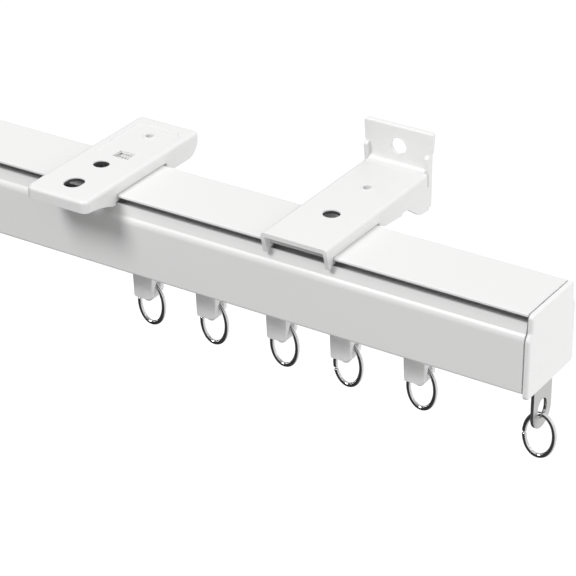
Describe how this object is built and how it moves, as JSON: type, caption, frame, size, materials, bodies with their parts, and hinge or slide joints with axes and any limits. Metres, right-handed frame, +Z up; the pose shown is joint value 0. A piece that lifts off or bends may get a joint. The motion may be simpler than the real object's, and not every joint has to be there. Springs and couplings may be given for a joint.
{
  "type": "curtain track",
  "caption": "Slotted white curtain rail with clip-on ceiling and wall brackets, wheeled runners with hanging rings, and end caps with a hook plate and ring",
  "frame": {"origin": "middle of the rail's length, over its centre line, on the flat top face of the ceiling bracket", "axes": "+X along the rail, +Y across it towards the wall, +Z up"},
  "size_m": [0.2754, 0.0646, 0.0621],
  "materials": {
    "rail_paint": "satin white baked paint on aluminium",
    "cap_plastic": "glossy white moulded plastic",
    "plate_steel": "bright zinc-plated strip",
    "ring_chrome": "polished plated wire",
    "screw_steel": "zinc-plated",
    "bracket_paint": "satin white paint on steel sheet",
    "latch_steel": "satin white paint on steel sheet",
    "spring_steel": "plain spring wire",
    "rivet_steel": "painted over with the bracket",
    "hanger_plastic": "milky moulded plastic",
    "axle_steel": "plain pin",
    "wheel_plastic": "smooth white plastic"
  },
  "bodies": {
    "track": {"rail": "rail_paint", "right_end_cap": "cap_plastic", "left_end_cap": "cap_plastic", "right_hook_plate": "plate_steel", "left_hook_plate": "plate_steel", "hook_screws": "screw_steel", "ceiling_bracket": "bracket_paint", "wall_bracket": "bracket_paint", "ceiling_latch_spring": "spring_steel", "wall_latch_spring": "spring_steel", "latch_rivets": "rivet_steel"},
    "ceiling_latch": {"ceiling_latch": "latch_steel"},
    "wall_latch": {"wall_latch": "latch_steel"},
    "right_end_ring": {"right_end_ring": "ring_chrome"},
    "left_end_ring": {"left_end_ring": "ring_chrome"},
    "runner_1": {"runner_1_hanger": "hanger_plastic", "runner_1_axle": "axle_steel"},
    "runner_1_front_wheel": {"runner_1_front_wheel": "wheel_plastic"},
    "runner_1_rear_wheel": {"runner_1_rear_wheel": "wheel_plastic"},
    "runner_1_ring": {"runner_1_ring": "ring_chrome"},
    "runner_2": {"runner_2_hanger": "hanger_plastic", "runner_2_axle": "axle_steel"},
    "runner_2_front_wheel": {"runner_2_front_wheel": "wheel_plastic"},
    "runner_2_rear_wheel": {"runner_2_rear_wheel": "wheel_plastic"},
    "runner_2_ring": {"runner_2_ring": "ring_chrome"},
    "runner_3": {"runner_3_hanger": "hanger_plastic", "runner_3_axle": "axle_steel"},
    "runner_3_front_wheel": {"runner_3_front_wheel": "wheel_plastic"},
    "runner_3_rear_wheel": {"runner_3_rear_wheel": "wheel_plastic"},
    "runner_3_ring": {"runner_3_ring": "ring_chrome"},
    "runner_4": {"runner_4_hanger": "hanger_plastic", "runner_4_axle": "axle_steel"},
    "runner_4_front_wheel": {"runner_4_front_wheel": "wheel_plastic"},
    "runner_4_rear_wheel": {"runner_4_rear_wheel": "wheel_plastic"},
    "runner_4_ring": {"runner_4_ring": "ring_chrome"},
    "runner_5": {"runner_5_hanger": "hanger_plastic", "runner_5_axle": "axle_steel"},
    "runner_5_front_wheel": {"runner_5_front_wheel": "wheel_plastic"},
    "runner_5_rear_wheel": {"runner_5_rear_wheel": "wheel_plastic"},
    "runner_5_ring": {"runner_5_ring": "ring_chrome"}
  },
  "joints": [
    {"name": "ceiling_latch_slide", "type": "slide", "parent": "track", "child": "ceiling_latch", "axis": [0, 1, 0], "range_m": [0, 0.0016], "stiffness_N_per_m": 800, "deforming": ["ceiling_latch_spring"]},
    {"name": "wall_latch_slide", "type": "slide", "parent": "track", "child": "wall_latch", "axis": [0, 1, 0], "range_m": [0, 0.0016], "stiffness_N_per_m": 800, "deforming": ["wall_latch_spring"]},
    {"name": "right_end_ring_swing", "type": "hinge", "parent": "track", "child": "right_end_ring", "pos_m": [0.13305, 0, -0.03728], "axis": [0.9903, 0.1392, 0], "range_deg": [-60, 60]},
    {"name": "left_end_ring_swing", "type": "hinge", "parent": "track", "child": "left_end_ring", "pos_m": [-0.13305, 0, -0.03728], "axis": [-0.9903, -0.1392, 0], "range_deg": [-60, 60]},
    {"name": "runner_1_slide", "type": "slide", "parent": "track", "child": "runner_1", "axis": [1, 0, 0], "range_m": [-0.129, 0.0109]},
    {"name": "runner_1_front_wheel_turn", "type": "hinge", "parent": "runner_1", "child": "runner_1_front_wheel", "pos_m": [0.0115, 0, -0.0192], "axis": [0, 1, 0], "continuous": true},
    {"name": "runner_1_rear_wheel_turn", "type": "hinge", "parent": "runner_1", "child": "runner_1_rear_wheel", "pos_m": [0.0115, 0, -0.0192], "axis": [0, 1, 0], "continuous": true},
    {"name": "runner_1_ring_swing", "type": "hinge", "parent": "runner_1", "child": "runner_1_ring", "pos_m": [0.0126, 0, -0.03422], "axis": [1, 0, 0], "range_deg": [-12, 12]},
    {"name": "runner_2_slide", "type": "slide", "parent": "track", "child": "runner_2", "axis": [1, 0, 0], "range_m": [-0.0109, 0.0127]},
    {"name": "runner_2_front_wheel_turn", "type": "hinge", "parent": "runner_2", "child": "runner_2_front_wheel", "pos_m": [0.0324, 0, -0.0192], "axis": [0, 1, 0], "continuous": true},
    {"name": "runner_2_rear_wheel_turn", "type": "hinge", "parent": "runner_2", "child": "runner_2_rear_wheel", "pos_m": [0.0324, 0, -0.0192], "axis": [0, 1, 0], "continuous": true},
    {"name": "runner_2_ring_swing", "type": "hinge", "parent": "runner_2", "child": "runner_2_ring", "pos_m": [0.0335, 0, -0.03422], "axis": [1, 0, 0], "range_deg": [-12, 12]},
    {"name": "runner_3_slide", "type": "slide", "parent": "track", "child": "runner_3", "axis": [1, 0, 0], "range_m": [-0.0127, 0.01]},
    {"name": "runner_3_front_wheel_turn", "type": "hinge", "parent": "runner_3", "child": "runner_3_front_wheel", "pos_m": [0.0551, 0, -0.0192], "axis": [0, 1, 0], "continuous": true},
    {"name": "runner_3_rear_wheel_turn", "type": "hinge", "parent": "runner_3", "child": "runner_3_rear_wheel", "pos_m": [0.0551, 0, -0.0192], "axis": [0, 1, 0], "continuous": true},
    {"name": "runner_3_ring_swing", "type": "hinge", "parent": "runner_3", "child": "runner_3_ring", "pos_m": [0.0562, 0, -0.03422], "axis": [1, 0, 0], "range_deg": [-12, 12]},
    {"name": "runner_4_slide", "type": "slide", "parent": "track", "child": "runner_4", "axis": [1, 0, 0], "range_m": [-0.01, 0.0124]},
    {"name": "runner_4_front_wheel_turn", "type": "hinge", "parent": "runner_4", "child": "runner_4_front_wheel", "pos_m": [0.0751, 0, -0.0192], "axis": [0, 1, 0], "continuous": true},
    {"name": "runner_4_rear_wheel_turn", "type": "hinge", "parent": "runner_4", "child": "runner_4_rear_wheel", "pos_m": [0.0751, 0, -0.0192], "axis": [0, 1, 0], "continuous": true},
    {"name": "runner_4_ring_swing", "type": "hinge", "parent": "runner_4", "child": "runner_4_ring", "pos_m": [0.0762, 0, -0.03422], "axis": [1, 0, 0], "range_deg": [-12, 12]},
    {"name": "runner_5_slide", "type": "slide", "parent": "track", "child": "runner_5", "axis": [1, 0, 0], "range_m": [-0.0124, 0.0205]},
    {"name": "runner_5_front_wheel_turn", "type": "hinge", "parent": "runner_5", "child": "runner_5_front_wheel", "pos_m": [0.0975, 0, -0.0192], "axis": [0, 1, 0], "continuous": true},
    {"name": "runner_5_rear_wheel_turn", "type": "hinge", "parent": "runner_5", "child": "runner_5_rear_wheel", "pos_m": [0.0975, 0, -0.0192], "axis": [0, 1, 0], "continuous": true},
    {"name": "runner_5_ring_swing", "type": "hinge", "parent": "runner_5", "child": "runner_5_ring", "pos_m": [0.0986, 0, -0.03422], "axis": [1, 0, 0], "range_deg": [-12, 12]}
  ],
  "couplings": [
    {"joint": "runner_1_front_wheel_turn", "follows": "runner_1_slide", "rad_per_m": 208.33},
    {"joint": "runner_1_rear_wheel_turn", "follows": "runner_1_slide", "rad_per_m": 208.33},
    {"joint": "runner_2_front_wheel_turn", "follows": "runner_2_slide", "rad_per_m": 208.33},
    {"joint": "runner_2_rear_wheel_turn", "follows": "runner_2_slide", "rad_per_m": 208.33},
    {"joint": "runner_3_front_wheel_turn", "follows": "runner_3_slide", "rad_per_m": 208.33},
    {"joint": "runner_3_rear_wheel_turn", "follows": "runner_3_slide", "rad_per_m": 208.33},
    {"joint": "runner_4_front_wheel_turn", "follows": "runner_4_slide", "rad_per_m": 208.33},
    {"joint": "runner_4_rear_wheel_turn", "follows": "runner_4_slide", "rad_per_m": 208.33},
    {"joint": "runner_5_front_wheel_turn", "follows": "runner_5_slide", "rad_per_m": 208.33},
    {"joint": "runner_5_rear_wheel_turn", "follows": "runner_5_slide", "rad_per_m": 208.33}
  ]
}
